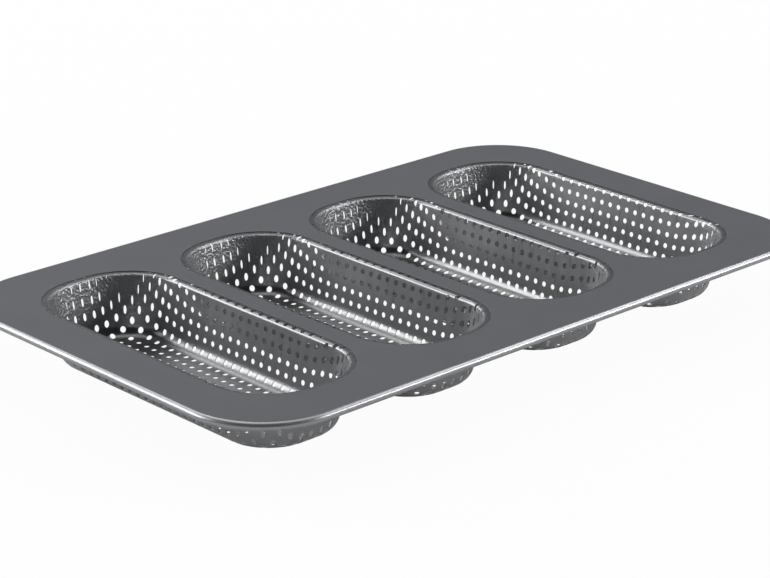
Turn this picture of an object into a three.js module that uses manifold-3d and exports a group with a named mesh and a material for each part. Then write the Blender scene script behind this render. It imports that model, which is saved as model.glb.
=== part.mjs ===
// Baguette pan: a flat deck with a wired rim, and perforated moulds hung in its openings.
// Millimetres, +Z up. The moulds stand in a row along X and each lies along Y.
// The origin is under the middle of the pan, on the surface that the mould floors stand on.

import * as THREE from 'three';
import { mergeGeometries, mergeVertices } from 'three/addons/utils/BufferGeometryUtils.js';
import Module from 'manifold-3d';

const wasm = await Module();
wasm.setup();

// Stock
const SHEET = 0.4; // thickness of the deck's and the moulds' sheet
const WIRE_DIAMETER = 2.6; // wire inside the rolled rim
const WIRE_CLEARANCE = 0.3; // space left between the wire and the roll
const SEAT_CLEARANCE = 0.05; // space left between a mould's flange and the deck over it

// Deck
const MOULD_COUNT = 4;
const OPENING_WIDTH = 75; // across X
const OPENING_LENGTH = 183; // along Y
const OPENING_CORNER = 33; // plan radius at the four corners of an opening
const CORNER_LIMIT = 0.98; // most of an opening's half width that its corners may take
const BRIDGE_WIDTH = 11; // bar of deck between two openings
const END_MARGIN = 23.5; // from the last opening to the rim, along X
const SIDE_MARGIN = 23.5; // from an opening's end to the rim, along Y
const DECK_CORNER = 40; // plan radius where the flat deck meets the rim
const ROLL_SWEEP = THREE.MathUtils.degToRad(260); // how far the rim is rolled round its wire

// Section of a mould, from its flange down to its floor
const MOULD_DEPTH = 31.2; // from the top of the deck to the inside of the floor
const FLANGE_SPACING = 2; // between the flanges of two neighbouring moulds
const LEDGE_WIDTH = 1.8; // flat of the flange that shows inside the opening
const LIP_RADIUS = 1.6; // outside radius where the flange turns down into the wall
const WALL_DRAFT = THREE.MathUtils.degToRad(11); // lean of the wall from upright
const FLOOR_RADIUS = 7; // inside radius between the wall and the floor

// Perforation: each square opening stands for a square group of round holes, and is as open as they are
const HOLE_DIAMETER = 2.8;
const HOLE_PITCH = 6; // between the rows of holes
const HOLE_GROUP = 2; // holes along each side of a group
const ROW_LIMIT = 12; // most openings in a row across the floor or the wall

// Fineness of the curves
const PLAN_DIVISIONS = 3; // half the flats in each rounded corner of a mould
const RIM_DIVISIONS = 4; // half the flats in each rounded corner of the rim
const ROLL_STEPS = 8;
const WIRE_SIDES = 8;
const LIP_STEPS = 2;
const FLOOR_STEPS = 3;

// Sizes that follow from those above
const mouldPitch = OPENING_WIDTH + BRIDGE_WIDTH;
const openingHalfX = OPENING_WIDTH / 2;
const openingHalfY = OPENING_LENGTH / 2;
const openingCorner = Math.min(OPENING_CORNER, CORNER_LIMIT * openingHalfX, CORNER_LIMIT * openingHalfY);
const deckHalfX = (MOULD_COUNT - 1) * mouldPitch / 2 + openingHalfX + END_MARGIN;
const deckHalfY = openingHalfY + SIDE_MARGIN;
const deckTop = MOULD_DEPTH + SHEET;
const flangeTop = deckTop - SHEET - SEAT_CLEARANCE;
const flangeWidth = (BRIDGE_WIDTH - FLANGE_SPACING) / 2;
const rollInside = WIRE_DIAMETER / 2 + WIRE_CLEARANCE;
const rollOutside = rollInside + SHEET;
const groupPitch = HOLE_GROUP * HOLE_PITCH;
const groupSide = HOLE_GROUP * HOLE_DIAMETER * Math.sqrt(Math.PI) / 2;
const punchLength = 6 * SHEET;

// Finishes
const coatedDeck = new THREE.MeshStandardMaterial({ color: 0x68696c, roughness: 0.5, metalness: 0.35 });
const coatedMould = new THREE.MeshStandardMaterial({ color: 0x4c4d51, roughness: 0.4, metalness: 0.45 });
const bareWire = new THREE.MeshStandardMaterial({ color: 0xa9abae, roughness: 0.35, metalness: 1 });

// A rectangle with rounded corners, about the origin.
function roundedShape(halfX, halfY, radius) {
  const shape = new THREE.Shape();
  const quarter = Math.PI / 2;
  const centreX = halfX - radius;
  const centreY = halfY - radius;
  shape.absarc(centreX, centreY, radius, 0, quarter);
  shape.absarc(-centreX, centreY, radius, quarter, 2 * quarter);
  shape.absarc(-centreX, -centreY, radius, 2 * quarter, 3 * quarter);
  shape.absarc(centreX, -centreY, radius, 3 * quarter, 4 * quarter);
  return shape;
}

// The outline of a mould's section point that lies `inset` inside the edge of its opening.
function mouldShape(inset) {
  const radius = Math.max(openingCorner - inset, SHEET);
  return roundedShape(openingHalfX - inset, openingHalfY - inset, radius);
}

// The outline of a rim's section point that lies `out` beyond the end of the flat deck.
function rimShape(out) {
  return roundedShape(deckHalfX + out, deckHalfY + out, DECK_CORNER + out);
}

// A level ring of points along an outline.
function ringAt(shape, divisions, z) {
  return shape.getPoints(divisions).map((point) => new THREE.Vector3(point.x, point.y, z));
}

// The skin over a stack of rings, which climbs its outside first.
// A looped stack closes on its first ring, and any other is closed flat at both ends.
function loft(rings, looped) {
  const count = rings[0].length;
  const index = [];
  const bands = looped ? rings.length : rings.length - 1;
  for (let band = 0; band < bands; band += 1) {
    const low = band * count;
    const high = ((band + 1) % rings.length) * count;
    for (let side = 0; side < count; side += 1) {
      const next = (side + 1) % count;
      index.push(low + side, low + next, high + next);
      index.push(low + side, high + next, high + side);
    }
  }
  if (!looped) {
    const lastRing = (rings.length - 1) * count;
    const underside = rings[0].map((point) => new THREE.Vector2(point.x, point.y));
    const upside = rings.at(-1).map((point) => new THREE.Vector2(point.x, point.y));
    for (const [a, b, c] of THREE.ShapeUtils.triangulateShape(underside, [])) index.push(a, c, b);
    for (const [a, b, c] of THREE.ShapeUtils.triangulateShape(upside, [])) {
      index.push(lastRing + a, lastRing + b, lastRing + c);
    }
  }
  const geometry = new THREE.BufferGeometry().setFromPoints(rings.flat());
  geometry.setIndex(index);
  return geometry;
}

// A closed geometry as a solid that can be joined and cut.
function toSolid(geometry) {
  const bare = geometry.clone();
  bare.deleteAttribute('normal');
  bare.deleteAttribute('uv');
  const merged = mergeVertices(bare);
  return new wasm.Manifold(new wasm.Mesh({
    numProp: 3,
    vertProperties: merged.getAttribute('position').array,
    triVerts: Uint32Array.from(merged.getIndex().array),
  }));
}

// The joined or cut solid as a geometry again.
function toGeometry(solid) {
  const { vertProperties, triVerts } = solid.getMesh();
  const geometry = new THREE.BufferGeometry();
  geometry.setAttribute('position', new THREE.BufferAttribute(vertProperties, 3));
  geometry.setIndex(new THREE.BufferAttribute(triVerts, 1));
  geometry.computeVertexNormals();
  return geometry;
}

function mouldCentreX(number) {
  return (number - (MOULD_COUNT + 1) / 2) * mouldPitch;
}

// The flat of the deck, with an opening for each mould.
function deckPlate() {
  const shape = rimShape(0);
  for (let number = 1; number <= MOULD_COUNT; number += 1) {
    const edge = mouldShape(0).getPoints(PLAN_DIVISIONS);
    shape.holes.push(new THREE.Path(edge.map((point) => point.setX(point.x + mouldCentreX(number)))));
  }
  const plate = new THREE.ExtrudeGeometry(shape, {
    depth: SHEET,
    bevelEnabled: false,
    curveSegments: RIM_DIVISIONS,
  });
  return plate.translate(0, 0, deckTop - SHEET);
}

// The edge of the deck, rolled out, down and back under itself. It stays open towards the moulds.
function deckRoll() {
  const centreZ = deckTop - rollOutside;
  const ringOnRoll = (radius, step) => {
    const angle = Math.PI / 2 - (step / ROLL_STEPS) * ROLL_SWEEP;
    return ringAt(rimShape(radius * Math.cos(angle)), RIM_DIVISIONS, centreZ + radius * Math.sin(angle));
  };
  const rings = [];
  for (let step = 0; step <= ROLL_STEPS; step += 1) rings.push(ringOnRoll(rollInside, step));
  for (let step = ROLL_STEPS; step >= 0; step -= 1) rings.push(ringOnRoll(rollOutside, step));
  return loft(rings, true);
}

function deckSheet() {
  return toGeometry(toSolid(deckPlate()).add(toSolid(deckRoll())));
}

function rimWire() {
  const rings = [];
  for (let side = 0; side < WIRE_SIDES; side += 1) {
    const angle = (side / WIRE_SIDES) * 2 * Math.PI;
    const out = WIRE_DIAMETER / 2 * Math.cos(angle);
    const up = WIRE_DIAMETER / 2 * Math.sin(angle);
    rings.push(ringAt(rimShape(out), RIM_DIVISIONS, deckTop - rollOutside + up));
  }
  return loft(rings, true);
}

// One face of a mould's sheet as pairs of inset and height, from the flange's edge down to the floor.
// `offset` is the face's depth in the sheet: 0 inside the mould, SHEET outside it.
function mouldSection(offset) {
  const drop = flangeTop - SHEET - (LIP_RADIUS + FLOOR_RADIUS) * (1 - Math.sin(WALL_DRAFT));
  const wallLength = drop / Math.cos(WALL_DRAFT);
  const lipZ = flangeTop - LIP_RADIUS;
  const floorZ = SHEET + FLOOR_RADIUS;
  const floorInset = LEDGE_WIDTH + (LIP_RADIUS + FLOOR_RADIUS) * Math.cos(WALL_DRAFT)
    + wallLength * Math.sin(WALL_DRAFT);
  const turn = Math.PI / 2 - WALL_DRAFT;
  const section = [[-flangeWidth, flangeTop - offset]];
  for (let step = 0; step <= LIP_STEPS; step += 1) {
    const angle = Math.PI / 2 - (step / LIP_STEPS) * turn;
    const radius = LIP_RADIUS - offset;
    section.push([LEDGE_WIDTH + radius * Math.cos(angle), lipZ + radius * Math.sin(angle)]);
  }
  for (let step = 0; step <= FLOOR_STEPS; step += 1) {
    const angle = WALL_DRAFT + (step / FLOOR_STEPS) * turn;
    const radius = FLOOR_RADIUS + offset;
    section.push([floorInset - radius * Math.cos(angle), floorZ - radius * Math.sin(angle)]);
  }
  return section;
}

// A mould before its holes are punched.
function mouldTrough() {
  const section = [...mouldSection(SHEET).reverse(), ...mouldSection(0)];
  const rings = section.map(([inset, z]) => ringAt(mouldShape(inset), PLAN_DIVISIONS, z));
  return loft(rings, false);
}

// A square punch through the sheet at a place, with two of its sides along the row.
function punch(place, along, through) {
  const across = new THREE.Vector3().crossVectors(along, through);
  const stance = new THREE.Matrix4().makeBasis(along, through, across).setPosition(place);
  return new THREE.BoxGeometry(groupSide, punchLength, groupSide).applyMatrix4(stance);
}

// Offsets of the openings that share a length, evenly about its middle.
function rowOffsets(length) {
  const count = Math.min(Math.round(length / groupPitch), ROW_LIMIT);
  return Array.from({ length: count }, (_, row) => ((row + 0.5) / count - 0.5) * length);
}

// Punches through the flat of the floor, in a square pattern.
function floorPunches() {
  const [inset] = mouldSection(0).at(-1);
  const halfX = openingHalfX - inset;
  const halfY = openingHalfY - inset;
  const corner = Math.max(openingCorner - inset, SHEET);
  const along = new THREE.Vector3(1, 0, 0);
  const down = new THREE.Vector3(0, 0, -1);
  const punches = [];
  for (const x of rowOffsets(2 * halfX)) {
    for (const y of rowOffsets(2 * halfY)) {
      const pastX = Math.max(Math.abs(x) - (halfX - corner), 0);
      const pastY = Math.max(Math.abs(y) - (halfY - corner), 0);
      if (Math.hypot(pastX, pastY) + groupSide / Math.SQRT2 < corner) {
        punches.push(punch(new THREE.Vector3(x, y, SHEET / 2), along, down));
      }
    }
  }
  return punches;
}

// Punches square to the wall, in level rows round the mould.
function wallPunches() {
  const section = mouldSection(SHEET / 2);
  const [topInset, topZ] = section[1 + LIP_STEPS];
  const [lowInset, lowZ] = section[2 + LIP_STEPS];
  const length = Math.hypot(lowInset - topInset, topZ - lowZ);
  const punches = [];
  for (const offset of rowOffsets(length)) {
    const depth = 0.5 + offset / length;
    const inset = THREE.MathUtils.lerp(topInset, lowInset, depth);
    const z = THREE.MathUtils.lerp(topZ, lowZ, depth);
    const outline = new THREE.Path(mouldShape(inset).getPoints(PLAN_DIVISIONS));
    outline.closePath();
    const count = Math.floor(outline.getLength() / groupPitch);
    for (let opening = 0; opening < count; opening += 1) {
      const share = opening / count;
      const place = outline.getPointAt(share);
      const tangent = outline.getTangentAt(share);
      const along = new THREE.Vector3(tangent.x, tangent.y, 0);
      const outward = new THREE.Vector3(tangent.y, -tangent.x, -Math.tan(WALL_DRAFT)).normalize();
      punches.push(punch(new THREE.Vector3(place.x, place.y, z), along, outward));
    }
  }
  return punches;
}

function perforatedMould() {
  const punches = mergeGeometries([...floorPunches(), ...wallPunches()]);
  return toGeometry(toSolid(mouldTrough()).subtract(toSolid(punches)));
}

function named(name, geometry, material) {
  const mesh = new THREE.Mesh(geometry, material);
  mesh.name = name;
  return mesh;
}

const pan = new THREE.Group();
pan.add(named('deck_sheet', deckSheet(), coatedDeck));
pan.add(named('rim_wire', rimWire(), bareWire));
const mouldGeometry = perforatedMould();
for (let number = 1; number <= MOULD_COUNT; number += 1) {
  const mould = named(`mould_${number}`, mouldGeometry, coatedMould);
  mould.position.x = mouldCentreX(number);
  pan.add(mould);
}

export default pan;
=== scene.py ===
"""Baguette pan: a coated deck with a rolled, wired rim and four perforated troughs.

The file is laid out as a Blender add-on and run as a script. Lengths are in metres, in the frame of the
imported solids: X runs along the row of troughs, Y along each trough and Z up. The trough floors stand on
Z = 0.
"""

import math
from types import SimpleNamespace

import bmesh
import bpy
import numpy as np
from bpy.props import FloatProperty, FloatVectorProperty, PointerProperty
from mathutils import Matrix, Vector


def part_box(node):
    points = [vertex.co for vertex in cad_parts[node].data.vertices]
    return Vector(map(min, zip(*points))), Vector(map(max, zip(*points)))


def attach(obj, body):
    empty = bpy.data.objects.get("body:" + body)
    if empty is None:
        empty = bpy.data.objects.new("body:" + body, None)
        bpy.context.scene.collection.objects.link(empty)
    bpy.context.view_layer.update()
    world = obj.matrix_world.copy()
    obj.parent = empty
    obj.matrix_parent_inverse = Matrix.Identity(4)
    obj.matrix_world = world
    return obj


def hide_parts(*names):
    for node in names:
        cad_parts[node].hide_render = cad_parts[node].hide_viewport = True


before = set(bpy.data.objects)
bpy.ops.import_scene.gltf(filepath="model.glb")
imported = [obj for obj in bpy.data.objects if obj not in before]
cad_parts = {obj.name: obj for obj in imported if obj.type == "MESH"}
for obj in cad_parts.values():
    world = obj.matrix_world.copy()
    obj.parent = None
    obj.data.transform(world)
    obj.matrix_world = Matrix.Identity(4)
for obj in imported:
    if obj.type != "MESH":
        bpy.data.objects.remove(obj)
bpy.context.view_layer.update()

bl_info = {
    "name": "Baguette pan",
    "version": (1, 0, 0),
    "blender": (4, 5, 0),
    "location": "View3D > Sidebar > Pan",
    "description": "Builds a perforated baguette pan with its finishes and its studio stage",
    "category": "Add Mesh",
}

BODY = "root"
DECK_NODE = "deck_sheet"
WIRE_NODE = "rim_wire"
TROUGH_NODES = sorted(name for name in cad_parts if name.startswith("mould_"))

# Fineness of the curves
DECK_CORNER_STEPS = 24
OPENING_CORNER_STEPS = 32
ROLL_STEPS = 26
WIRE_SIDES = 20
CUT_EDGE_STEPS = 4
HOLE_SIDE_STEPS = 3  # edges on each side of the square cell round a hole
FLOOR_BEND_STEPS = 8
LIP_BEND_STEPS = 6

# Which of a piece's two finishes the rolled rim of the deck has, and the outside of a trough
RIM_FINISH = 1
OUTSIDE_FINISH = 1
# A narrow flat strip beside each bend, which keeps the shading of the wide flat even
FLAT_STRIP = 0.0003
# Steepest turn between two faces of the deck that is still shaded as one bend
SMOOTH_TURN = math.radians(50)
# How far a point may lie from a bend's line and still be on it
CUT_TOLERANCE = 1e-7
# Shortest distance from a corner's middle that still has a direction
LEAST_REACH = 1e-9
# Spare rows of holes round a blank, so that it stays covered when the pattern is shifted and turned
SPARE_ROWS = 3

# Where the sheet changes from bent to drawn, as a turn round a trough's corner from the end of its
# straight side
DRAWN_FROM = math.radians(-66)
DRAWN_TO = math.radians(40)
# How much longer the drawing makes the sheet in the floor's corners, again on the wall above them, and
# how much more towards the wall's top
FLOOR_STRETCH = 0.064
WALL_STRETCH = 0.065
TOP_STRETCH = 0.10
# How much more a hole is squeezed than the sheet round it, and the share of its width at which it closes
HOLE_GIVE = 1.85
HOLE_CLOSED = 0.2
# Mesh attribute that tells a trough's finish how much the sheet is squeezed
SQUEEZE = "squeeze"

# How much each coating looks like metal, from the flakes in it
DECK_METAL = 0.1
RIM_METAL = 0.6
TROUGH_METAL = 0.58
UNDERSIDE_METAL = 0.6
# How strongly the coatings mirror, where a plain lacquer has 0.5
DECK_SPECULAR = 0.28
TROUGH_SPECULAR = 1.0
# Index of refraction of the glossy coating on the troughs
TROUGH_IOR = 1.7
# How far the roughness of each coating varies
DECK_ROUGH_SPREAD = 0.04
TROUGH_ROUGH_SPREAD = 0.03
# Tone of the troughs' coating where it is not squeezed, and how much lighter and rougher it is where it
# is fully squeezed; the lightening is painted light, standing in for the light on the drawn ends
UNSQUEEZED_TONE = 0.94
SQUEEZE_PAINTED_LIGHT = 1.25
SQUEEZED_ROUGHER = 0.1
# Share of the mottling in the painted lightening, and the value from which the coating is painted lighter
MOTTLE_SHARE = 0.3
LIGHTENING_START = 0.1
# Scale of the streaks' noise on each axis, which draws the streaks out upwards
STREAK_SCALE = (1, 1, 0.06)
# The two values between which most of a noise lies
NOISE_LOW = 0.3
NOISE_HIGH = 0.7

# Distance of the soft lights from the middle of the pan
SOFTBOX_REACH = 3.0
# Turn of each soft light from +X and its rise from the floor, in degrees, with its width and its height
SOFTBOXES = {
    "right_light": (-6, 46, 1.7, 0.8),
    "low_light": (-41, 22, 1.5, 0.9),
    "left_light": (121, 23, 3.2, 1.6),
    "back_light": (76, 44, 1.8, 0.8),
    "top_light": (60, 74, 2.6, 2.2),
}
# Half the width of the floor, and how far it lies below the pan
FLOOR_REACH = 8.0
FLOOR_DROP = 0.0002
# Width of the camera's sensor in millimetres
SENSOR_WIDTH = 36


class PanSizes(bpy.types.PropertyGroup):
    """Sizes of the pan's sheet, bends and holes"""

    sheet: FloatProperty(
        name="Sheet",
        description="Thickness of the sheet that the deck and the troughs are made from",
        default=0.0004,
        unit="LENGTH",
        precision=5,
    )
    deck_corner: FloatProperty(
        name="Deck corner",
        description="Plan radius at the corners of the flat deck",
        default=0.040,
        unit="LENGTH",
        precision=4,
    )
    opening_corner: FloatProperty(
        name="Opening corner",
        description="Plan radius at the corners of the openings in the deck",
        default=0.033,
        unit="LENGTH",
        precision=4,
    )
    cut_edge: FloatProperty(
        name="Cut edge",
        description="Radius that the coating leaves on the cut edges of the deck",
        default=0.00015,
        unit="LENGTH",
        precision=5,
    )
    wire_diameter: FloatProperty(
        name="Wire",
        description="Diameter of the wire inside the rim",
        default=0.0026,
        unit="LENGTH",
        precision=5,
    )
    wire_clearance: FloatProperty(
        name="Wire clearance",
        description="Space between the wire and the roll around it",
        default=0.0003,
        unit="LENGTH",
        precision=5,
    )
    roll_sweep: FloatProperty(
        name="Roll sweep",
        description="How far the edge of the deck is rolled round the wire",
        default=math.radians(260),
        subtype="ANGLE",
    )
    flange_width: FloatProperty(
        name="Flange",
        description="Width of a trough's flange under the deck",
        default=0.0045,
        unit="LENGTH",
        precision=5,
    )
    ledge_width: FloatProperty(
        name="Ledge",
        description="Flat of the flange that shows inside the opening",
        default=0.0018,
        unit="LENGTH",
        precision=5,
    )
    lip_radius: FloatProperty(
        name="Lip radius",
        description="Radius where the flange turns down into the wall",
        default=0.0016,
        unit="LENGTH",
        precision=4,
    )
    wall_draft: FloatProperty(
        name="Wall draft",
        description="Lean of a trough's wall from upright",
        default=math.radians(11),
        subtype="ANGLE",
    )
    floor_radius: FloatProperty(
        name="Floor radius",
        description="Inside radius between a trough's wall and its floor",
        default=0.007,
        unit="LENGTH",
        precision=4,
    )
    hole_diameter: FloatProperty(
        name="Hole",
        description="Diameter of a hole in the flat sheet",
        default=0.0028,
        unit="LENGTH",
        precision=5,
    )
    hole_pitch: FloatProperty(
        name="Hole pitch",
        description="Distance between the rows of holes in the flat sheet",
        default=0.006,
        unit="LENGTH",
        precision=4,
    )
    hole_shift_across: FloatVectorProperty(
        name="Hole shift across",
        description="Where the rows of holes lie across each trough, from the middle of its blank",
        size=4,
        default=(-0.00108, -0.00057, 0.00150, -0.00309),
        unit="LENGTH",
        precision=4,
    )
    hole_shift_along: FloatVectorProperty(
        name="Hole shift along",
        description="Where the rows of holes lie along each trough, from the middle of its blank",
        size=4,
        default=(0.00024, 0.00052, -0.00222, -0.00221),
        unit="LENGTH",
        precision=4,
    )
    hole_turn: FloatVectorProperty(
        name="Hole turn",
        description="How far the rows of holes are turned against each trough",
        size=4,
        default=(math.radians(-0.29), math.radians(1.15), math.radians(-0.01), math.radians(-0.06)),
        unit="ROTATION",
    )


class PanFinishes(bpy.types.PropertyGroup):
    """Colours and gloss of the pan's coating and wire"""

    deck_colour: FloatVectorProperty(
        name="Deck coating",
        description="Colour of the coating on the deck",
        size=3,
        default=(0.114, 0.118, 0.130),
        subtype="COLOR",
    )
    deck_roughness: FloatProperty(
        name="Deck roughness",
        description="Roughness of the coating on the deck",
        default=0.50,
        subtype="FACTOR",
    )
    # Painted highlight: the rim has the deck's coating, given a lighter colour here to stand in for the
    # highlights along the rolled edge
    rim_highlight_colour: FloatVectorProperty(
        name="Rim coating",
        description="Colour of the coating on the rolled rim, which the rolling has polished",
        size=3,
        default=(0.36, 0.365, 0.38),
        subtype="COLOR",
    )
    rim_roughness: FloatProperty(
        name="Rim roughness",
        description="Roughness of the coating on the rolled rim",
        default=0.32,
        subtype="FACTOR",
    )
    trough_colour: FloatVectorProperty(
        name="Trough coating",
        description="Colour of the coating on the perforated troughs",
        size=3,
        default=(0.21, 0.213, 0.223),
        subtype="COLOR",
    )
    trough_roughness: FloatProperty(
        name="Trough roughness",
        description="Roughness of the coating on the perforated troughs",
        default=0.30,
        subtype="FACTOR",
    )
    # Painted light: the troughs' outside has the same coating as the inside, made lighter here to stand
    # in for the light and floor reflections that the undersides catch
    underside_painted_light_colour: FloatVectorProperty(
        name="Underside coating",
        description="Colour of the thinner coating under the troughs",
        size=3,
        default=(0.41, 0.414, 0.428),
        subtype="COLOR",
    )
    underside_roughness: FloatProperty(
        name="Underside roughness",
        description="Roughness of the coating under the troughs",
        default=0.30,
        subtype="FACTOR",
    )
    wire_colour: FloatVectorProperty(
        name="Wire",
        description="Colour of the drawn steel wire in the rim",
        size=3,
        default=(0.40, 0.41, 0.42),
        subtype="COLOR",
    )


class PanStage(bpy.types.PropertyGroup):
    """Camera, floor and light around the pan"""

    camera_place: FloatVectorProperty(
        name="Camera place",
        description="Where the camera stands",
        size=3,
        default=(-0.85336, -0.90645, 0.48659),
        subtype="TRANSLATION",
    )
    camera_aim: FloatVectorProperty(
        name="Camera aim",
        description="Direction that the camera looks in",
        size=3,
        default=(0.63869, 0.68424, -0.35197),
        subtype="DIRECTION",
    )
    lens: FloatProperty(
        name="Lens",
        description=f"Focal length in millimetres, on a sensor {SENSOR_WIDTH} mm wide",
        default=124.37,
    )
    floor_colour: FloatVectorProperty(
        name="Floor",
        description="Colour of the floor",
        size=3,
        default=(0.72, 0.72, 0.72),
        subtype="COLOR",
    )
    floor_glow: FloatProperty(
        name="Floor glow",
        description="Share of plain white in the floor as the camera sees it",
        default=0.96,
        subtype="FACTOR",
    )
    floor_sheen: FloatProperty(
        name="Floor sheen",
        description="Share of plain white in the floor as reflections see it",
        default=0.05,
        subtype="FACTOR",
    )
    room_light: FloatProperty(
        name="Room light",
        description="Strength of the even light from all round",
        default=0.01,
    )
    right_light: FloatProperty(
        name="Right light",
        description="Power of the high soft light on the camera's right",
        default=24.0,
        unit="POWER",
    )
    low_light: FloatProperty(
        name="Low light",
        description="Power of the low soft light on the camera's right",
        default=52.0,
        unit="POWER",
    )
    left_light: FloatProperty(
        name="Left light",
        description="Power of the low soft light on the camera's left",
        default=96.0,
        unit="POWER",
    )
    back_light: FloatProperty(
        name="Back light",
        description="Power of the high soft light behind the pan",
        default=14.0,
        unit="POWER",
    )
    top_light: FloatProperty(
        name="Top light",
        description="Power of the wide soft light above the pan",
        default=26.0,
        unit="POWER",
    )


def rounded_outline(half_x, half_y, radius, steps):
    """Points round a rectangle with rounded corners, against the clock from the +X side."""
    turn = np.linspace(0, math.pi / 2, steps + 1)
    points = []
    for quarter in range(4):
        angle = turn + quarter * math.pi / 2
        side_x = 1 if quarter in (0, 3) else -1
        side_y = 1 if quarter in (0, 1) else -1
        x = side_x * (half_x - radius) + radius * np.cos(angle)
        y = side_y * (half_y - radius) + radius * np.sin(angle)
        points.append(np.column_stack([x, y]))
    return np.concatenate(points)


def add_ring(mesh, outline, z):
    """A level ring of vertices along an outline."""
    return [mesh.verts.new((x, y, z)) for x, y in outline]


def join_rings(mesh, rings):
    """Faces between each ring and the next, as a strip from the first ring to the last."""
    faces = []
    for first, second in zip(rings, rings[1:]):
        for index in range(len(first)):
            after = (index + 1) % len(first)
            faces.append(mesh.faces.new((first[index], first[after], second[after], second[index])))
    return faces


def ring_edges(mesh, ring):
    """The edges round a ring of vertices."""
    return [mesh.edges.get((ring[index - 1], ring[index])) for index in range(len(ring))]


def deck_plan(sizes):
    """Sizes of the deck that follow from its solid and from the rim."""
    low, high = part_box(DECK_NODE)
    roll_inside = sizes.wire_diameter / 2 + sizes.wire_clearance
    roll_outside = roll_inside + sizes.sheet
    return SimpleNamespace(
        top=high.z,
        under=high.z - sizes.sheet,
        half_x=(high.x - low.x) / 2 - roll_outside,
        half_y=(high.y - low.y) / 2 - roll_outside,
        roll_inside=roll_inside,
        roll_outside=roll_outside,
        roll_z=high.z - roll_outside,
    )


def rim_outline(sizes, plan, out):
    """Outline of the rim's section point that lies `out` beyond the flat of the deck."""
    radius = sizes.deck_corner + out
    return rounded_outline(plan.half_x + out, plan.half_y + out, radius, DECK_CORNER_STEPS)


def opening_outline(sizes, node, inset):
    """Outline that lies `inset` inside the edge of a trough's opening."""
    low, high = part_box(node)
    half_x = (high.x - low.x) / 2 - sizes.flange_width - inset
    half_y = (high.y - low.y) / 2 - sizes.flange_width - inset
    outline = rounded_outline(half_x, half_y, sizes.opening_corner - inset, OPENING_CORNER_STEPS)
    middle = (low + high) / 2
    return outline + np.array([middle.x, middle.y])


def add_roll(mesh, sizes, plan):
    """The rolled edge, from the top of the deck round the wire and back to the underside."""
    section = [(-FLAT_STRIP, plan.top)]
    angles = [math.pi / 2 - sizes.roll_sweep * step / ROLL_STEPS for step in range(ROLL_STEPS + 1)]
    for angle in angles:
        reach = plan.roll_outside
        section.append((reach * math.cos(angle), plan.roll_z + reach * math.sin(angle)))
    for angle in reversed(angles):
        reach = plan.roll_inside
        section.append((reach * math.cos(angle), plan.roll_z + reach * math.sin(angle)))
    section.append((-FLAT_STRIP, plan.under))
    rings = [add_ring(mesh, rim_outline(sizes, plan, out), z) for out, z in section]
    # The outside of the roll takes the rim's finish, whose lighter colour is a painted highlight
    for face in join_rings(mesh, rings[1:-1]):
        face.material_index = RIM_FINISH
    join_rings(mesh, rings[:2])
    join_rings(mesh, rings[-2:])
    return rings[0], rings[-1]


def add_opening(mesh, sizes, plan, node):
    """The cut edge of one opening, with its two corners softened by the coating."""
    soft = sizes.cut_edge
    angles = [math.pi / 2 * step / CUT_EDGE_STEPS for step in range(CUT_EDGE_STEPS + 1)]
    section = [(-soft - FLAT_STRIP, plan.top)]
    for angle in angles:
        section.append((-soft + soft * math.sin(angle), plan.top - soft + soft * math.cos(angle)))
    for angle in reversed(angles):
        section.append((-soft + soft * math.sin(angle), plan.under + soft - soft * math.cos(angle)))
    section.append((-soft - FLAT_STRIP, plan.under))
    rings = [add_ring(mesh, opening_outline(sizes, node, inset), z) for inset, z in section]
    join_rings(mesh, rings)
    return rings[0], rings[-1]


def fill_flat(mesh, rings):
    """A flat face bounded by the first ring, with a hole at each of the others."""
    edges = [edge for ring in rings for edge in ring_edges(mesh, ring)]
    filled = bmesh.ops.triangle_fill(mesh, edges=edges, use_beauty=True)
    if not any(isinstance(made, bmesh.types.BMFace) for made in filled["geom"]):
        raise RuntimeError("the flat of the deck could not be filled")


def deck_mesh(sizes):
    """The deck: one sheet with its openings and its rolled edge."""
    plan = deck_plan(sizes)
    made = bmesh.new()
    top_rings = []
    under_rings = []
    borders = [add_roll(made, sizes, plan)]
    borders += [add_opening(made, sizes, plan, node) for node in TROUGH_NODES]
    for top_ring, under_ring in borders:
        top_rings.append(top_ring)
        under_rings.append(under_ring)
    fill_flat(made, top_rings)
    fill_flat(made, under_rings)
    bmesh.ops.recalc_face_normals(made, faces=made.faces)
    mesh = bpy.data.meshes.new("deck")
    made.to_mesh(mesh)
    made.free()
    mesh.shade_smooth()
    mesh.set_sharp_from_angle(angle=SMOOTH_TURN)
    return mesh


def wire_mesh(sizes):
    """The round wire inside the rolled edge, as one closed ring."""
    plan = deck_plan(sizes)
    made = bmesh.new()
    rings = []
    for side in range(WIRE_SIDES):
        angle = 2 * math.pi * side / WIRE_SIDES
        out = sizes.wire_diameter / 2 * math.cos(angle)
        z = plan.roll_z + sizes.wire_diameter / 2 * math.sin(angle)
        rings.append(add_ring(made, rim_outline(sizes, plan, out), z))
    rings.append(rings[0])
    join_rings(made, rings)
    bmesh.ops.recalc_face_normals(made, faces=made.faces)
    mesh = bpy.data.meshes.new("wire")
    made.to_mesh(mesh)
    made.free()
    mesh.shade_smooth()
    return mesh


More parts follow.
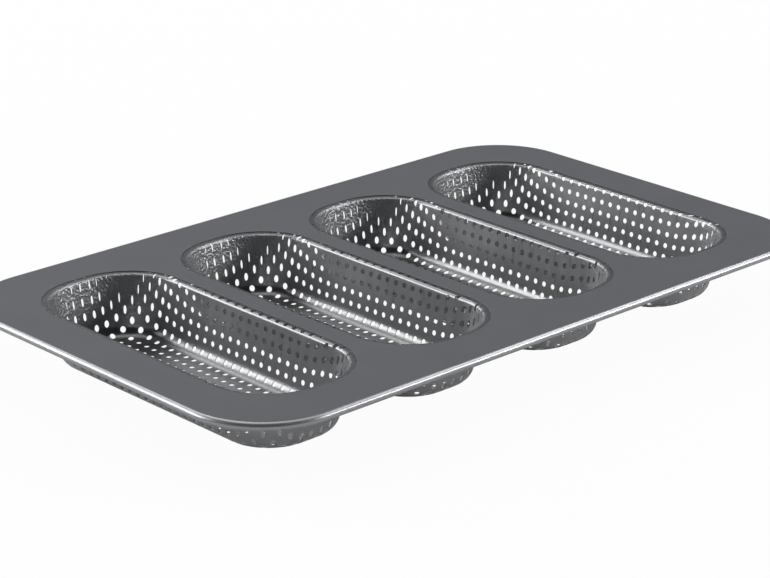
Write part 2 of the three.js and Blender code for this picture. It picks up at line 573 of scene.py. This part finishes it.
def trough_section(sizes, node):
    """Section of a trough's inner face, from the edge of its floor up to the edge of its flange."""
    low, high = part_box(node)
    draft = sizes.wall_draft
    turn = math.pi / 2 - draft
    radii = sizes.lip_radius + sizes.floor_radius
    drop = high.z - low.z - sizes.sheet - radii * (1 - math.sin(draft))
    wall = drop / math.cos(draft)
    floor_inset = sizes.ledge_width + radii * math.cos(draft) + wall * math.sin(draft)
    bend = sizes.floor_radius * turn
    lip = sizes.lip_radius * turn
    edge = sizes.flange_width + floor_inset
    return SimpleNamespace(
        middle=(low + high) / 2,
        floor_z=low.z + sizes.sheet,
        floor_half=np.array([(high.x - low.x) / 2 - edge, (high.y - low.y) / 2 - edge]),
        floor_corner=sizes.opening_corner - floor_inset,
        floor_inset=floor_inset,
        floor_radius=sizes.floor_radius,
        lip_radius=sizes.lip_radius,
        draft=draft,
        bend=bend,
        wall=wall,
        lip=lip,
        length=bend + wall + lip + sizes.ledge_width + sizes.flange_width,
    )


def section_at(section, run):
    """Inset, height and tilt of the inner face, at distances up the sheet from the edge of the floor."""
    bend = np.clip(run, 0, section.bend) / section.floor_radius
    wall = np.clip(run - section.bend, 0, section.wall)
    lip = np.clip(run - section.bend - section.wall, 0, section.lip) / section.lip_radius
    flat = np.clip(run - section.bend - section.wall - section.lip, 0, None)
    lean = section.draft + lip
    inset = section.floor_inset - section.floor_radius * np.sin(bend) - wall * math.sin(section.draft)
    inset = inset - section.lip_radius * (math.cos(section.draft) - np.cos(lean)) - flat
    height = section.floor_z + section.floor_radius * (1 - np.cos(bend)) + wall * math.cos(section.draft)
    height = height + section.lip_radius * (np.sin(lean) - math.sin(section.draft))
    return inset, height, bend - lip


def blank_frame(section, points):
    """How points of the blank lie about the middles of the floor's corners.

    Returns the nearest points between those middles, the directions outwards from them, the distances,
    and the turn round the corner, which is below zero along the straight sides.
    """
    side = section.floor_half - section.floor_corner
    near = np.sign(points) * np.minimum(np.abs(points), side)
    past = points - near
    reach = np.hypot(past[:, 0], past[:, 1])
    outward = past / np.maximum(reach, LEAST_REACH)[:, None]
    before = np.maximum(side[1] - np.abs(points[:, 1]), 0) / section.floor_corner
    turn = np.arctan2(np.abs(past[:, 1]), np.abs(past[:, 0])) - before
    return near, outward, reach, turn


def drawn_run(section, reach, turn):
    """How far the blank's points come to lie up the section, which is below zero on the floor.

    Along the straight sides the sheet only bends. Round the corners it is drawn, which makes it longer.
    """
    share = np.clip((turn - DRAWN_FROM) / (DRAWN_TO - DRAWN_FROM), 0, 1)
    drawn = share * share * (3 - 2 * share)
    past_floor = reach * (1 + FLOOR_STRETCH * drawn) - section.floor_corner
    up_wall = np.maximum(past_floor, 0)
    return past_floor + up_wall * (WALL_STRETCH + TOP_STRETCH * up_wall / section.length) * drawn


def folded_radius(section, run):
    """How far out from a corner's middle the points come to lie that are so far up the section."""
    inset = section_at(section, run)[0]
    return section.floor_corner + np.minimum(run, 0) + section.floor_inset - inset


def fold_blank(section, points):
    """Places of the blank's points on the inner face of the trough, and its normals there."""
    near, outward, reach, turn = blank_frame(section, points)
    run = np.minimum(drawn_run(section, reach, turn), section.length)
    height, tilt = section_at(section, run)[1:]
    radius = folded_radius(section, run)
    plan = near + outward * radius[:, None] + np.array([section.middle.x, section.middle.y])
    places = np.column_stack([plan, height])
    normals = np.column_stack([-outward * np.sin(tilt)[:, None], np.cos(tilt)])
    return places, normals


def squeeze_blank(section, points):
    """How much the sheet is squeezed sideways where it is drawn into the corners.

    It gives most in the middle of a corner, and less at the middle of the trough's end. Returns the
    directions outwards, the width that is left and the share by which a hole narrows.
    """
    outward, reach, turn = blank_frame(section, points)[1:]
    radius = folded_radius(section, np.minimum(drawn_run(section, reach, turn), section.length))
    width_left = np.divide(radius, reach, out=np.ones_like(reach), where=reach > 0)
    round_corner = np.maximum(turn, 0)
    give = HOLE_GIVE * (np.sin(2 * round_corner) + np.sin(round_corner) ** 2)
    return outward, width_left, give * np.maximum(1 - width_left, 0)


def draw_holes(section, points, rings, middles):
    """Narrows the holes in the drawn corners, where the sheet gives way at its holes first.

    The rim of a hole keeps its length, so a hole that narrows grows taller. Returns the points with the
    holes' rings moved, and which of the holes close.
    """
    centres = points[middles]
    outward, width_left, squeezed = squeeze_blank(section, centres)
    in_corner = (outward != 0).all(axis=1)
    width = np.maximum(1 - squeezed, HOLE_CLOSED)
    height = np.sqrt(2 - width * width)
    sideways = np.column_stack([-outward[:, 1], outward[:, 0]])
    offset = points[rings] - centres[:, None]
    moved = points.copy()
    sideways_scale = width / np.where(in_corner, width_left, 1)
    for direction, scale in ((sideways, sideways_scale), (outward, height)):
        part = (offset * direction[:, None]).sum(axis=2)
        moved[rings] += ((scale - 1)[:, None] * part)[:, :, None] * direction[:, None]
    return moved, 1 - squeezed < HOLE_CLOSED


def score_blank(section, points, faces):
    """Cuts the blank's faces along its bends and its edge, so that the bends come out round.

    Returns the points, and the triangles within the edge.
    """
    run = drawn_run(section, *blank_frame(section, points)[2:])
    blank = bmesh.new()
    corners = [blank.verts.new((x, y, z)) for (x, y), z in zip(points, run)]
    for face in faces.tolist():
        blank.faces.new([corners[index] for index in dict.fromkeys(face)])
    lip_start = section.bend + section.wall
    scores = [
        *np.linspace(0, section.bend, FLOOR_BEND_STEPS + 1),
        *np.linspace(lip_start, lip_start + section.lip, LIP_BEND_STEPS + 1),
        section.length,
    ]
    for score in scores:
        whole = [*blank.verts, *blank.edges, *blank.faces]
        bmesh.ops.bisect_plane(
            blank, geom=whole, dist=CUT_TOLERANCE, plane_co=(0, 0, score), plane_no=(0, 0, 1)
        )
    bmesh.ops.triangulate(blank, faces=blank.faces)
    blank.verts.index_update()
    scored = np.array([vert.co for vert in blank.verts])
    triangles = np.array([[vert.index for vert in face.verts] for face in blank.faces])
    blank.free()
    inside = scored[triangles, 2].mean(axis=1) < section.length
    return scored[:, :2], triangles[inside]


def hole_lattice(sizes, section, shift, turn):
    """Points and faces of a flat sheet with a square pattern of round holes, shifted and turned.

    Each hole has a square cell. A ring of faces joins the cell's border to the hole, and a fan of faces
    would close the hole: both are returned, with the points round each hole and the point in its middle.
    """
    steps = HOLE_SIDE_STEPS
    reach = section.floor_half + section.length
    cells = 2 * np.ceil(reach / sizes.hole_pitch).astype(int) + SPARE_ROWS
    fine = cells * steps + 1
    grid_x, grid_y = np.meshgrid(np.arange(fine[0]), np.arange(fine[1]), indexing="ij")
    on_border = (grid_x % steps == 0) | (grid_y % steps == 0)
    number = np.full(grid_x.shape, -1)
    number[on_border] = np.arange(on_border.sum())
    border = np.column_stack([grid_x[on_border], grid_y[on_border]]) / steps - cells / 2
    border = border * sizes.hole_pitch

    along = np.arange(steps)
    round_x = np.concatenate([along, np.full(steps, steps), steps - along, np.zeros(steps, int)])
    round_y = np.concatenate([np.zeros(steps, int), along, np.full(steps, steps), steps - along])
    cell_grid = np.meshgrid(np.arange(cells[0]), np.arange(cells[1]), indexing="ij")
    cell_x, cell_y = [axis.ravel() for axis in cell_grid]
    outer = number[cell_x[:, None] * steps + round_x, cell_y[:, None] * steps + round_y]

    # The points round a hole start at the same corner of the cell as those of its border
    first_corner = math.radians(225)
    angle = first_corner + 2 * math.pi * np.arange(4 * steps) / (4 * steps)
    centre = (np.column_stack([cell_x, cell_y]) + 0.5 - cells / 2) * sizes.hole_pitch
    circle = np.column_stack([np.cos(angle), np.sin(angle)]) * sizes.hole_diameter / 2
    holes = (centre[:, None, :] + circle).reshape(-1, 2)
    inner = len(border) + np.arange(len(holes)).reshape(-1, 4 * steps)
    middle = len(border) + len(holes) + np.arange(len(centre))
    along_x = np.array([math.cos(turn), math.sin(turn)])
    along_y = np.array([-math.sin(turn), math.cos(turn)])
    points = np.concatenate([border, holes, centre]) @ np.array([along_x, along_y]) + shift

    outer_next = np.roll(outer, -1, axis=1)
    inner_next = np.roll(inner, -1, axis=1)
    ring_faces = np.stack([outer, outer_next, inner_next, inner], axis=-1)
    middles = np.repeat(middle[:, None], 4 * steps, axis=1)
    fan_faces = np.stack([inner, inner_next, middles, middles], axis=-1)
    return points, ring_faces, fan_faces, inner, middle


def open_edges(triangles):
    """Directed edges that belong to one triangle only."""
    first = triangles.ravel()
    second = np.roll(triangles, -1, axis=1).ravel()
    size = triangles.max() + 1
    forward = first * size + second
    backward = second * size + first
    alone = ~np.isin(forward, backward)
    return first[alone], second[alone]


def trough_mesh(sizes, number):
    """One trough, bent and drawn from a blank of perforated sheet."""
    node = TROUGH_NODES[number]
    section = trough_section(sizes, node)
    shift = np.array([sizes.hole_shift_across[number], sizes.hole_shift_along[number]])
    turn = sizes.hole_turn[number]
    points, ring_faces, fan_faces, rings, middles = hole_lattice(sizes, section, shift, turn)
    points, closed = draw_holes(section, points, rings, middles)
    over_edge = drawn_run(section, *blank_frame(section, points)[2:]) > section.length
    closed = closed | over_edge[rings].any(axis=1)
    faces = np.concatenate([ring_faces.reshape(-1, 4), fan_faces[closed].reshape(-1, 4)])
    points, faces = score_blank(section, points, faces[~over_edge[faces].all(axis=1)])
    used, faces = np.unique(faces, return_inverse=True)
    faces = faces.reshape(-1, 3)
    count = len(used)
    inside, normals = fold_blank(section, points[used])
    outside = inside - normals * sizes.sheet
    first, second = open_edges(faces)
    cuts = np.column_stack([second, first, first + count, second + count])

    mesh = bpy.data.meshes.new(node.replace("mould", "trough"))
    skins = faces.tolist() + (faces[:, ::-1] + count).tolist() + cuts.tolist()
    mesh.from_pydata(np.concatenate([inside, outside]).tolist(), [], skins)
    if mesh.validate():
        raise RuntimeError(f"the perforated sheet of {node} has faults")
    mesh.shade_smooth()
    sharpen(mesh, first, second, count)
    is_outside = np.arange(len(skins)) // len(faces) == 1
    mesh.polygons.foreach_set("material_index", is_outside * OUTSIDE_FINISH)
    upright = np.hypot(normals[:, 0], normals[:, 1])
    squeezed = squeeze_blank(section, points[used])[2] * upright
    mesh.attributes.new(SQUEEZE, "FLOAT", "POINT").data.foreach_set("value", np.tile(squeezed, 2))
    return mesh


def sharpen(mesh, first, second, count):
    """Marks the cut edges of a trough's sheet as sharp, on its inner and on its outer face."""
    ends = np.zeros(2 * len(mesh.edges), dtype=int)
    mesh.edges.foreach_get("vertices", ends)
    ends = np.sort(ends.reshape(-1, 2), axis=1)
    cuts = np.sort(np.column_stack([first, second]), axis=1)
    cuts = np.concatenate([cuts, cuts + count])
    size = len(mesh.vertices)
    is_cut = np.isin(ends[:, 0] * size + ends[:, 1], cuts[:, 0] * size + cuts[:, 1])
    mesh.attributes.new("sharp_edge", "BOOLEAN", "EDGE")
    mesh.attributes["sharp_edge"].data.foreach_set("value", is_cut)


def place_piece(mesh, node, materials):
    """Puts a mesh in the scene in place of its solid, with its finishes."""
    piece = bpy.data.objects.new(mesh.name, mesh)
    bpy.context.scene.collection.objects.link(piece)
    for material in materials:
        mesh.materials.append(material)
    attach(piece, BODY)
    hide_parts(node)
    return piece


def add_math(tree, operation, first, second):
    """Two values combined, where the second may be a plain number."""
    node = tree.nodes.new("ShaderNodeMath")
    node.operation = operation
    tree.links.new(first, node.inputs[0])
    if isinstance(second, float):
        node.inputs[1].default_value = second
    else:
        tree.links.new(second, node.inputs[1])
    return node.outputs["Value"]


def add_noise(tree, place, scale, detail):
    """Noise over the surface, from 0 to 1."""
    noise = tree.nodes.new("ShaderNodeTexNoise")
    noise.inputs["Scale"].default_value = scale
    noise.inputs["Detail"].default_value = detail
    tree.links.new(place, noise.inputs["Vector"])
    return noise.outputs["Fac"]


def add_range(tree, value, low, high):
    """A value that runs from low to high as the noise does."""
    spread = tree.nodes.new("ShaderNodeMapRange")
    spread.inputs["From Min"].default_value = NOISE_LOW
    spread.inputs["From Max"].default_value = NOISE_HIGH
    spread.inputs["To Min"].default_value = low
    spread.inputs["To Max"].default_value = high
    tree.links.new(value, spread.inputs["Value"])
    return spread.outputs["Result"]


def add_ramp(tree, value, low, low_colour, high, high_colour):
    """A colour that runs from one to another between two values."""
    ramp = tree.nodes.new("ShaderNodeValToRGB")
    for element, place, colour in zip(ramp.color_ramp.elements, (low, high), (low_colour, high_colour)):
        element.position = place
        element.color = (*colour, 1)
    tree.links.new(value, ramp.inputs["Fac"])
    return ramp.outputs["Color"]


def add_tones(tree, value, colour, spread):
    """The colour made a little darker and lighter as the noise does."""
    darker = [part * (1 - spread) for part in colour]
    lighter = [part * (1 + spread) for part in colour]
    return add_ramp(tree, value, NOISE_LOW, darker, NOISE_HIGH, lighter)


def add_bump(tree, height, strength, depth, under=None):
    """Small relief on the surface, on top of another relief if there is one."""
    bump = tree.nodes.new("ShaderNodeBump")
    bump.inputs["Strength"].default_value = strength
    bump.inputs["Distance"].default_value = depth
    tree.links.new(height, bump.inputs["Height"])
    if under is not None:
        tree.links.new(under, bump.inputs["Normal"])
    return bump.outputs["Normal"]


def stretched_place(tree, scale):
    """Object coordinates, stretched by a scale for each axis."""
    place = tree.nodes.new("ShaderNodeTexCoord")
    mapping = tree.nodes.new("ShaderNodeMapping")
    mapping.inputs["Scale"].default_value = scale
    tree.links.new(place.outputs["Object"], mapping.inputs["Vector"])
    return mapping.outputs["Vector"]


def new_finish(name, metallic):
    """A new material and its main shader."""
    material = bpy.data.materials.new(name)
    material.use_nodes = True
    shader = material.node_tree.nodes["Principled BSDF"]
    shader.inputs["Metallic"].default_value = metallic
    return material, material.node_tree, shader


def deck_coating(name, colour, rough, metallic):
    """Satin non-stick coating: faint mottling, and a fine even grain from spraying."""
    material, tree, shader = new_finish(name, metallic)
    place = stretched_place(tree, (1, 1, 1))
    mottle = add_noise(tree, place, scale=45, detail=3)
    grain = add_noise(tree, place, scale=1600, detail=2)
    tones = add_tones(tree, mottle, colour, spread=0.03)
    grain_rough = add_range(tree, grain, rough - DECK_ROUGH_SPREAD, rough + DECK_ROUGH_SPREAD)
    relief = add_bump(tree, grain, strength=0.06, depth=0.0001)
    tree.links.new(tones, shader.inputs["Base Color"])
    tree.links.new(grain_rough, shader.inputs["Roughness"])
    tree.links.new(relief, shader.inputs["Normal"])
    shader.inputs["Specular IOR Level"].default_value = DECK_SPECULAR
    return material


def trough_coating(name, colour, rough, metallic):
    """The same coating on the drawn troughs: glossier, with upright streaks from the drawing.

    Where the sheet is squeezed the coating is painted lighter, as painted light on the drawn ends, and is
    rougher, with small wrinkles.
    """
    material, tree, shader = new_finish(name, metallic)
    place = stretched_place(tree, (1, 1, 1))
    drawn_place = stretched_place(tree, STREAK_SCALE)
    mottle = add_noise(tree, place, scale=70, detail=3)
    streak = add_noise(tree, drawn_place, scale=330, detail=2)
    grain = add_noise(tree, place, scale=1600, detail=2)
    attribute = tree.nodes.new("ShaderNodeAttribute")
    attribute.attribute_name = SQUEEZE
    squeeze = attribute.outputs["Fac"]
    wrinkle = add_math(tree, "MULTIPLY", add_noise(tree, place, scale=700, detail=2), squeeze)

    # Painted light: the coating is made lighter where the sheet is squeezed, mixed with some random
    # mottling
    mottle_and_painted_light = add_math(tree, "ADD", squeeze, add_math(tree, "MULTIPLY", mottle, MOTTLE_SHARE))
    unsqueezed_colour = [part * UNSQUEEZED_TONE for part in colour]
    painted_light_colour = [min(part * SQUEEZE_PAINTED_LIGHT, 1) for part in colour]
    tones = add_ramp(tree, mottle_and_painted_light, LIGHTENING_START, unsqueezed_colour, 1.0, painted_light_colour)
    streak_rough = add_range(tree, streak, rough - TROUGH_ROUGH_SPREAD, rough + TROUGH_ROUGH_SPREAD)
    squeezed_rough = add_math(tree, "MULTIPLY", squeeze, SQUEEZED_ROUGHER)
    streaked = add_bump(tree, streak, strength=0.02, depth=0.0004)
    wrinkled = add_bump(tree, wrinkle, strength=1.0, depth=0.0008, under=streaked)
    relief = add_bump(tree, grain, strength=0.05, depth=0.0001, under=wrinkled)
    tree.links.new(tones, shader.inputs["Base Color"])
    tree.links.new(add_math(tree, "ADD", streak_rough, squeezed_rough), shader.inputs["Roughness"])
    tree.links.new(relief, shader.inputs["Normal"])
    shader.inputs["IOR"].default_value = TROUGH_IOR
    shader.inputs["Specular IOR Level"].default_value = TROUGH_SPECULAR
    return material


def drawn_wire(finishes):
    """Bright drawn wire with fine scratches."""
    material, tree, shader = new_finish("drawn_wire", metallic=1.0)
    place = stretched_place(tree, (1, 1, 1))
    scratch = add_noise(tree, place, scale=900, detail=3)
    tones = add_tones(tree, scratch, finishes.wire_colour, spread=0.08)
    scratch_rough = add_range(tree, scratch, low=0.28, high=0.42)
    relief = add_bump(tree, scratch, strength=0.1, depth=0.0001)
    tree.links.new(tones, shader.inputs["Base Color"])
    tree.links.new(scratch_rough, shader.inputs["Roughness"])
    tree.links.new(relief, shader.inputs["Normal"])
    return material


def white_floor(stage):
    """A pale floor that takes the pan's shadow.

    The camera sees it nearly white, and reflections see it with a little white mixed in.
    """
    material = bpy.data.materials.new("white_floor")
    material.use_nodes = True
    tree = material.node_tree
    tree.nodes.clear()
    output = tree.nodes.new("ShaderNodeOutputMaterial")
    matt = tree.nodes.new("ShaderNodeBsdfDiffuse")
    matt.inputs["Color"].default_value = (*stage.floor_colour, 1)
    glow = tree.nodes.new("ShaderNodeEmission")
    glow.inputs["Strength"].default_value = 1.0
    path = tree.nodes.new("ShaderNodeLightPath")
    seen = add_math(tree, "MULTIPLY", path.outputs["Is Camera Ray"], stage.floor_glow)
    glossy = path.outputs["Is Glossy Ray"]
    bounced = add_math(tree, "MAXIMUM", glossy, path.outputs["Is Transmission Ray"])
    mirrored = add_math(tree, "MULTIPLY", bounced, stage.floor_sheen)
    share = add_math(tree, "MAXIMUM", seen, mirrored)
    mix = tree.nodes.new("ShaderNodeMixShader")
    tree.links.new(share, mix.inputs["Fac"])
    tree.links.new(matt.outputs["BSDF"], mix.inputs[1])
    tree.links.new(glow.outputs["Emission"], mix.inputs[2])
    tree.links.new(mix.outputs["Shader"], output.inputs["Surface"])
    return material


def add_floor(stage):
    """The floor, a hair below the pan."""
    mesh = bpy.data.meshes.new("floor")
    corners = [(-1, -1), (1, -1), (1, 1), (-1, 1)]
    places = [(x * FLOOR_REACH, y * FLOOR_REACH, -FLOOR_DROP) for x, y in corners]
    mesh.from_pydata(places, [], [(0, 1, 2, 3)])
    mesh.materials.append(white_floor(stage))
    floor = bpy.data.objects.new("floor", mesh)
    bpy.context.scene.collection.objects.link(floor)


def add_softbox(name, power, turn, rise, width, height):
    """A soft light that faces the middle of the pan, placed by its turn and its rise in degrees."""
    turn = math.radians(turn)
    rise = math.radians(rise)
    level = SOFTBOX_REACH * math.cos(rise)
    place = Vector((level * math.cos(turn), level * math.sin(turn), SOFTBOX_REACH * math.sin(rise)))
    light = bpy.data.lights.new(name, "AREA")
    light.shape = "RECTANGLE"
    light.size = width
    light.size_y = height
    light.energy = power
    softbox = bpy.data.objects.new(name, light)
    softbox.location = place
    softbox.rotation_euler = (-place).to_track_quat("-Z", "Y").to_euler()
    bpy.context.scene.collection.objects.link(softbox)


def add_room(stage):
    """Even light from all round."""
    world = bpy.data.worlds.new("room")
    world.use_nodes = True
    background = world.node_tree.nodes["Background"]
    background.inputs["Color"].default_value = (1, 1, 1, 1)
    background.inputs["Strength"].default_value = stage.room_light
    bpy.context.scene.world = world


def add_camera(stage):
    """The camera, at the photograph's viewing angle."""
    data = bpy.data.cameras.new("camera")
    data.sensor_width = SENSOR_WIDTH
    data.lens = stage.lens
    camera = bpy.data.objects.new("camera", data)
    camera.location = stage.camera_place
    camera.rotation_euler = Vector(stage.camera_aim).to_track_quat("-Z", "Y").to_euler()
    bpy.context.scene.collection.objects.link(camera)
    bpy.context.scene.camera = camera


class PAN_OT_stage(bpy.types.Operator):
    """Set up the camera, the floor and the light"""

    bl_idname = "pan.stage"
    bl_label = "Stage"

    def execute(self, context):
        stage = context.scene.pan_stage
        add_camera(stage)
        add_floor(stage)
        add_room(stage)
        for name, (turn, rise, width, height) in SOFTBOXES.items():
            add_softbox(name, getattr(stage, name), turn, rise, width, height)
        context.scene.view_settings.view_transform = "Standard"
        return {"FINISHED"}


class PAN_OT_deck(bpy.types.Operator):
    """Build the deck with its openings and its rolled rim"""

    bl_idname = "pan.deck"
    bl_label = "Deck"

    def execute(self, context):
        mesh = deck_mesh(context.scene.pan_sizes)
        finishes = context.scene.pan_finishes
        flat = deck_coating("deck_satin", finishes.deck_colour, finishes.deck_roughness, DECK_METAL)
        # The rim's lighter colour is a painted highlight
        rim = deck_coating("rim_satin", finishes.rim_highlight_colour, finishes.rim_roughness, RIM_METAL)
        place_piece(mesh, DECK_NODE, [flat, rim])
        return {"FINISHED"}


class PAN_OT_rim_wire(bpy.types.Operator):
    """Build the wire inside the rolled rim"""

    bl_idname = "pan.rim_wire"
    bl_label = "Rim wire"

    def execute(self, context):
        mesh = wire_mesh(context.scene.pan_sizes)
        place_piece(mesh, WIRE_NODE, [drawn_wire(context.scene.pan_finishes)])
        return {"FINISHED"}


class PAN_OT_troughs(bpy.types.Operator):
    """Build the perforated troughs"""

    bl_idname = "pan.troughs"
    bl_label = "Troughs"

    def execute(self, context):
        sizes = context.scene.pan_sizes
        finishes = context.scene.pan_finishes
        inside = trough_coating(
            "trough_inside", finishes.trough_colour, finishes.trough_roughness, TROUGH_METAL
        )
        # The outside's lighter colour is painted light on the undersides
        outside = trough_coating(
            "trough_outside", finishes.underside_painted_light_colour, finishes.underside_roughness, UNDERSIDE_METAL
        )
        for number, node in enumerate(TROUGH_NODES):
            place_piece(trough_mesh(sizes, number), node, [inside, outside])
        return {"FINISHED"}


class PAN_PT_build(bpy.types.Panel):
    """Lists the steps that build the pan, with its sizes and finishes"""

    bl_label = "Baguette pan"
    bl_idname = "PAN_PT_build"
    bl_space_type = "VIEW_3D"
    bl_region_type = "UI"
    bl_category = "Pan"

    def draw(self, context):
        for operator in OPERATORS:
            self.layout.operator(operator.bl_idname)
        for group in (context.scene.pan_sizes, context.scene.pan_finishes, context.scene.pan_stage):
            box = self.layout.box()
            for name in type(group).__annotations__:
                box.prop(group, name)


GROUPS = (PanSizes, PanFinishes, PanStage)
OPERATORS = (PAN_OT_stage, PAN_OT_deck, PAN_OT_rim_wire, PAN_OT_troughs)
CLASSES = (*GROUPS, *OPERATORS, PAN_PT_build)


def register():
    for cls in CLASSES:
        bpy.utils.register_class(cls)
    bpy.types.Scene.pan_sizes = PointerProperty(type=PanSizes)
    bpy.types.Scene.pan_finishes = PointerProperty(type=PanFinishes)
    bpy.types.Scene.pan_stage = PointerProperty(type=PanStage)


def unregister():
    del bpy.types.Scene.pan_stage
    del bpy.types.Scene.pan_finishes
    del bpy.types.Scene.pan_sizes
    for cls in reversed(CLASSES):
        bpy.utils.unregister_class(cls)


def main():
    register()
    bpy.ops.pan.stage()
    bpy.ops.pan.deck()
    bpy.ops.pan.rim_wire()
    bpy.ops.pan.troughs()


if __name__ == "__main__":
    main()
